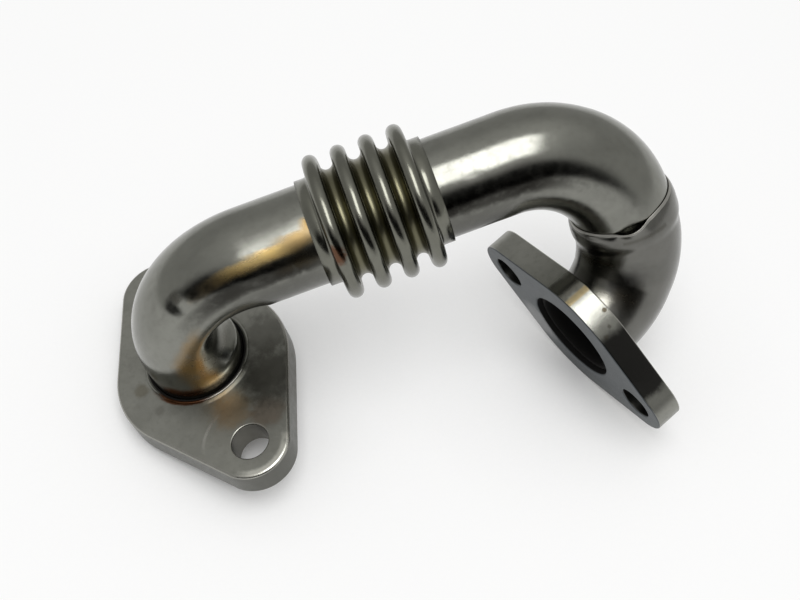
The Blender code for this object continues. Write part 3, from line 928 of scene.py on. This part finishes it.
def tint_tube(surface, tints=TUBE_TINTS, bands=PAINTED_REFLECTION_BANDS):
    """Add painted dark reflections, heat tints and other marks to a tube's outside, one of them a
    painted highlight; bare metal, also a painted highlight, to its worn rims; and soot to its
    inside.
    """
    # Painted dim and black reflections low on the tube's front side
    for *place, colour, strength in bands:
        surface.paint(surface.spot(*place), colour, strength)
    # Heat tints and other marks; the pale one on the inlet leg is a painted highlight
    for *place, colour, strength in tints:
        spot = surface.times(surface.spot(*place), strength)
        surface.paint(spot, colour)
        surface.polish(spot, TINT_ROUGHNESS)
    # Bare metal on the elbow's worn rim, which also paints a highlight there
    bare = surface.bare(*RIM_WEAR)
    surface.paint(bare, WORN, RIM_STRENGTH)
    surface.polish(bare, RIM_ROUGHNESS)
    surface.soot(surface.span(surface.off_axis(), *TUBE_SOOT))


def tint_elbow(surface):
    tint_tube(surface, ELBOW_TINTS, ())


def tint_bellows(surface):
    """Darken the grooves of the bellows, rust one fold and lay soot inside."""
    depth = surface.off_axis()
    groove = surface.span(surface.ragged(depth, GROOVE_RAGGED), *GROOVE_DEPTH)
    groove = surface.times(groove, surface.stripe(surface.ahead(), BELLOWS_MIDDLE, GROOVE_ENDS))
    surface.paint(groove, GROOVE_OLIVE, GROOVE_STRENGTH)
    surface.polish(groove, GROOVE_ROUGHNESS)
    surface.paint(surface.speck(*RUSTY_FOLD), RUST, RUSTY_FOLD_STRENGTH)
    surface.soot(surface.span(depth, *BELLOWS_SOOT))


def tint_plate(surface, size, edge_wear, hole_shade):
    """Give a plate worn edges, a rusty and black crevice, a sooty bore, a painted highlight on its
    bore's rounded edge and painted shade in its bolt holes.
    """
    bare = surface.bare(*PLATE_WEAR)
    surface.paint(bare, WORN, edge_wear)
    surface.polish(bare, PLATE_WEAR_ROUGHNESS)
    bore = surface.minus(surface.off_axis(-size.offset), TUBE_RADIUS)
    rust = surface.span(surface.ragged(bore, RUST_RAGGED, CREVICE_SCALE), *RUST_RING)
    surface.paint(surface.times(rust, surface.blot(*RUSTY_SIDE)), RUST)
    # Painted highlight on one side of the bore's rounded edge
    bright = surface.stripe(bore, HIGHLIGHT_MIDDLE, HIGHLIGHT_FADE)
    surface.paint(surface.times(bright, surface.blot(*HIGHLIGHT_SIDE)), PAINTED_HIGHLIGHT)
    # Painted shade in the bolt holes
    for side in (-1, 1):
        hole = surface.off_axis(side * size.spacing / 2)
        wall = surface.span(hole, size.hole + HOLE_FADE, size.hole)
        surface.paint(wall, hole_shade, HOLE_STRENGTH)
    surface.soot(surface.span(surface.ragged(bore, BLACK_RAGGED, CREVICE_SCALE), *BLACK_RING))


def tint_inlet_plate(surface):
    """Paint shade on the inlet flange's walls, stain and mark it, paint a highlight on one lug's
    edge and leave the faint print of a washer.
    """
    # Painted shade on all of the plate but its back face
    wall = surface.span(surface.ahead(), *INLET_SHADED_WALL)
    surface.paint(wall, PAINTED_SHADE_STEEL)
    for x, y, radius, colour, strength in INLET_MARKS:
        surface.paint(surface.blot(x, y, radius), colour, strength)
    # DARK_STEEL here is the painted shade in the bolt holes
    tint_plate(surface, INLET_FLANGE, INLET_EDGE_WEAR, DARK_STEEL)

    from_bolt = surface.off_axis(INLET_FLANGE.spacing / 2)
    # Painted highlight on one lug's edge
    lug_highlight = surface.span(surface.ragged(from_bolt, HIGHLIGHT_RAGGED, EDGE_SCALE), *HIGHLIGHT_EDGE)
    lug_highlight = surface.times(lug_highlight, surface.blot(*HIGHLIGHT_LUG))
    lug_highlight = surface.times(surface.times(lug_highlight, surface.minus(1.0, wall)), HIGHLIGHT_STRENGTH)
    surface.paint(lug_highlight, PAINTED_HIGHLIGHT)
    surface.polish(lug_highlight, HIGHLIGHT_ROUGHNESS)

    line = surface.stripe(from_bolt, WASHER_RADIUS, WASHER_FADE)
    line = surface.times(surface.times(line, surface.blot(*WASHER_PLACE)), WASHER_STRENGTH)
    surface.paint(line, WORN)
    surface.polish(line, WASHER_ROUGHNESS)


def tint_outlet_plate(surface):
    """Paint a black reflection and a band of shade on the outlet flange's side, mark and polish it,
    and leave its mating face bluish.
    """
    # SOOT here is the painted shade in the bolt holes
    tint_plate(surface, OUTLET_FLANGE, OUTLET_EDGE_WEAR, SOOT)
    along = surface.component(surface.unbent(), 0)
    across = surface.component(surface.unbent(), 1)
    height = surface.ahead()
    side = surface.times(surface.span(across, *SIDE_ACROSS), surface.span(height, *SIDE_HEIGHT))
    uneven = surface.ragged(along, SIDE_RAGGED)

    # Painted black reflection
    dark_reflection = surface.times(surface.span(uneven, *DARK_REFLECTION_FROM), surface.span(uneven, *DARK_REFLECTION_TO))
    surface.paint(surface.times(dark_reflection, side), PAINTED_BLACK_REFLECTION, DARK_REFLECTION_STRENGTH)
    bright = surface.times(surface.span(along, *POLISH_ALONG),
                           surface.span(across, *POLISH_ACROSS))
    surface.polish(bright, POLISH_ROUGHNESS)
    # Painted shade band
    shade = surface.stripe(uneven, SHADE_MIDDLE, SHADE_FADE)
    surface.paint(surface.times(shade, side), SHADE, SHADE_STRENGTH)
    for place, radius, strength in SIDE_NICKS:
        surface.paint(surface.speck(place, radius), SCORCH, strength)
    straw = surface.stripe(along, STRAW_MIDDLE, STRAW_FADE)
    surface.paint(surface.times(straw, side), STRAW, STRAW_STRENGTH)

    slate = surface.mix(surface.noise(surface.unbent(), FACE_SCALE), SLATE, PALE_SLATE)
    slate = surface.mix(surface.blot(*CLEAN_FACE), slate, CLEAN_SLATE)
    face = surface.span(height, *FACE_HEIGHT)
    surface.paint(face, slate)
    surface.polish(face, FACE_ROUGHNESS)


def tint_braze(surface):
    """Blacken the braze's inner side and leave the rest rusty in one place and bare in another,
    where the bare metal is also a painted highlight.
    """
    surface.paint(surface.blot(*RUSTY_CREVICE), RUST)
    # Bare braze, which also paints a highlight by the bore's edge
    surface.paint(surface.blot(*BARE_AND_HIGHLIGHT_CREVICE), WORN)
    off = surface.minus(surface.off_axis(), TUBE_RADIUS)
    black = surface.span(surface.ragged(off, CREVICE_RAGGED, EDGE_SCALE), *CREVICE_RING)
    surface.paint(black, SOOT)
    surface.rough = surface.mix_value(black, BRAZE_RIM_ROUGHNESS, surface.rough)
    surface.metal = surface.mix_value(black, 1.0, 0.0)


def steel(name, finish, tint):
    """Return a steel with cloudy stains. The tint function lays its marks on it."""
    surface = Surface(name, finish)
    surface.cloud(finish.colour)
    tint(surface)
    return surface.done()


def braze_metal(name):
    surface = Surface(name, BRAZE_FINISH)
    tint_braze(surface)
    return surface.done()


# Pipe

def dress(piece, material, slot, *nodes):
    """Give a piece its material and body, and hide the CAD pieces of the nodes that it stands for.
    The slot is not used.
    """
    piece.data.materials.clear()
    piece.data.materials.append(material)
    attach(piece, "root")
    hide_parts(*nodes)


def build_tubes(inlet, outlet):
    look = steel("tube_steel", TUBE_FINISH, tint_tube)
    for node, route in (("inlet_tube", inlet), ("outlet_tube", outlet)):
        dress(tube(node + "_skin", route.stations), look, "satin_tube_steel", node)


def build_bellows(middle):
    look = steel("bellows_steel", BELLOWS_FINISH, tint_bellows)
    dress(bellows("bellows_skin", middle), look, "bellows_steel", "bellows")


def build_elbow(outlet, bend_end):
    """Build the elbow over the outlet tube and return the outlet flange's face matrix."""
    lead = route_from(bend_end).straight(ELBOW_LEAD)
    route = route_from(lead.end()).bend(*ELBOW_BEND)
    leg = ELBOW_LEG + BRAZE_CROWN + OUTLET_FLANGE.thickness
    face = route.end().matrix @ Matrix.Translation((0, 0, leg)) @ Matrix.Rotation(pi, 4, "X")
    route.straight(leg - TUBE_RECESS - LIP)
    sleeve = [station for station in outlet.stations if station.along <= bend_end.along]
    made = elbow("outlet_elbow_skin", sleeve + lead.stations[1:], bend_end, route)
    look = steel("elbow_steel", ELBOW_FINISH, tint_elbow)
    dress(made, look, "satin_tube_steel", "outlet_elbow")
    return face


def build_flanges(inlet_face, outlet_face):
    """Build both flanges, and then the braze in their crevices."""
    inlet_look = steel("inlet_plate_steel", INLET_PLATE_FINISH, tint_inlet_plate)
    outlet_look = steel("outlet_plate_steel", OUTLET_PLATE_FINISH, tint_outlet_plate)
    braze_look = braze_metal("braze_metal_look")
    ends = (("inlet", inlet_face, INLET_FLANGE, inlet_look),
            ("outlet", outlet_face, OUTLET_FLANGE, outlet_look))
    for end, face, size, look in ends:
        made = plate(end + "_flange_plate", face, size)
        dress(made, look, "plate_steel", end + "_flange")
    for end, face, size, _ in ends:
        made = braze(end + "_braze_fillet", face, size.thickness)
        dress(made, braze_look, "braze_metal", end + "_braze_ring")


def build_pipe():
    """Lay the centre line and build every piece of the pipe along it."""
    inlet_face = Matrix.Identity(4)
    start = TUBE_RECESS + LIP
    reach = TOP_CREST + CREST_ROUND + CUFF_FILLET + CUFF_LENGTH - CUFF_LAP + LIP
    inlet = Route(inlet_face @ Matrix.Translation((0, 0, start)), start)
    inlet.straight(INLET_FLANGE.thickness + INLET_LEG - start)
    inlet.bend(*INLET_BEND, INLET_PINCH)
    inlet.straight(INLET_RUN - reach)
    middle = route_from(inlet.end()).straight(reach).end()
    outlet = route_from(route_from(middle).straight(reach).end())
    outlet.straight(OUTLET_RUN - reach)
    outlet.bend(*OUTLET_BEND)
    bend_end = outlet.end()
    outlet.straight(SOCKET_LAP - LIP)

    build_tubes(inlet, outlet)
    build_bellows(middle)
    build_flanges(inlet_face, build_elbow(outlet, bend_end))


# Floor, light and camera

def floor_material():
    """Return a pale floor that stays near white to the eye and keeps the shadow."""
    made = new_material("floor_paper")
    nodes = Nodes(made.node_tree)
    shader = made.node_tree.nodes["Principled BSDF"]
    shader.inputs["Roughness"].default_value = FLOOR_ROUGHNESS
    shader.inputs["Specular IOR Level"].default_value = FLOOR_SPECULAR
    place = nodes.add("ShaderNodeTexCoord").outputs["Object"]
    paper = nodes.mix(nodes.noise(place, FLOOR_GRAIN), PAPER, PALE_PAPER)
    nodes.feed(shader.inputs["Base Color"], paper)
    glow = nodes.add("ShaderNodeEmission", {"Color": WHITE, "Strength": 1.0})
    path = nodes.add("ShaderNodeLightPath").outputs
    seen = nodes.math("MAXIMUM", path["Is Camera Ray"], path["Is Glossy Ray"])
    seen = nodes.math("MAXIMUM", seen, path["Is Transmission Ray"])
    clear = nodes.add("ShaderNodeAmbientOcclusion", {"Distance": SHADOW_REACH},
                      samples=SHADOW_SAMPLES).outputs["AO"]
    seen = nodes.times(seen, nodes.math("POWER", clear, SHADOW_POWER))
    blend = nodes.add("ShaderNodeMixShader", {0: nodes.times(seen, FLOOR_GLOW),
                                              1: shader.outputs[0], 2: glow.outputs[0]})
    surface = made.node_tree.nodes["Material Output"].inputs["Surface"]
    nodes.feed(surface, blend.outputs[0])
    return made


def build_floor():
    shape = bmesh.new()
    bmesh.ops.create_grid(shape, x_segments=8, y_segments=8, size=FLOOR_HALF)
    mesh = bpy.data.meshes.new("floor")
    shape.to_mesh(mesh)
    shape.free()
    mesh.materials.append(floor_material())
    floor = link(bpy.data.objects.new("floor", mesh))
    floor.location.z = -FLOOR_DROP


def direction(azimuth, elevation):
    """Return the unit vector of a direction in the room."""
    flat = cos(radians(elevation))
    return Vector((flat * sin(radians(azimuth)), flat * cos(radians(azimuth)),
                   sin(radians(elevation))))


def build_lamp():
    """Add a soft rectangular lamp that shines on the pipe."""
    data = bpy.data.lights.new("key", "AREA")
    data.shape = "RECTANGLE"
    data.size, data.size_y = LAMP_SIZE
    data.energy = LAMP_RADIANCE * pi * LAMP_SIZE[0] * LAMP_SIZE[1]
    made = link(bpy.data.objects.new("key", data))
    made.location = direction(*LAMP_DIRECTION) * LAMP_DISTANCE
    made.rotation_euler = made.location.to_track_quat("Z", "Y").to_euler()


def build_room():
    """Light the scene from a soft grey room: a paler ceiling and a dark place low at the front."""
    world = bpy.data.worlds.new("room")
    bpy.context.scene.world = world
    world.use_nodes = True
    nodes = Nodes(world.node_tree)
    sight = nodes.add("ShaderNodeTexCoord").outputs["Generated"]
    height = nodes.component(sight, 2)
    toward = nodes.vector_math("DOT_PRODUCT", sight, direction(DARK_SIDE, 0.0))["Value"]
    full, gone = [cos(radians(angle)) for angle in DARK_HALF]
    front = nodes.span(toward, gone, full)
    full, gone = [sin(radians(angle)) for angle in DARK_TOP]
    low = nodes.span(height, gone, full)
    dark = nodes.span(nodes.times(front, low), 0.0, 1.0, 1.0, ROOM_DARK)
    ceiling = nodes.span(height, *CEILING_HEIGHT, ROOM_GREY, CEILING_GREY)
    background = world.node_tree.nodes["Background"]
    nodes.feed(background.inputs["Color"], ROOM_COLOUR)
    nodes.feed(background.inputs["Strength"], nodes.times(ceiling, dark))


def build_camera():
    data = bpy.data.cameras.new("camera")
    data.lens = CAMERA_LENS
    data.sensor_width = CAMERA_SENSOR
    data.clip_start = CAMERA_NEAR * MM
    made = link(bpy.data.objects.new("camera", data))
    made.location = Vector(CAMERA_PLACE) * MM
    made.rotation_euler = [radians(angle) for angle in CAMERA_TURN]
    bpy.context.scene.camera = made


build_pipe()
build_floor()
build_camera()
build_room()
build_lamp()
bpy.context.scene.view_settings.view_transform = "Standard"

bpy.context.view_layer.update()
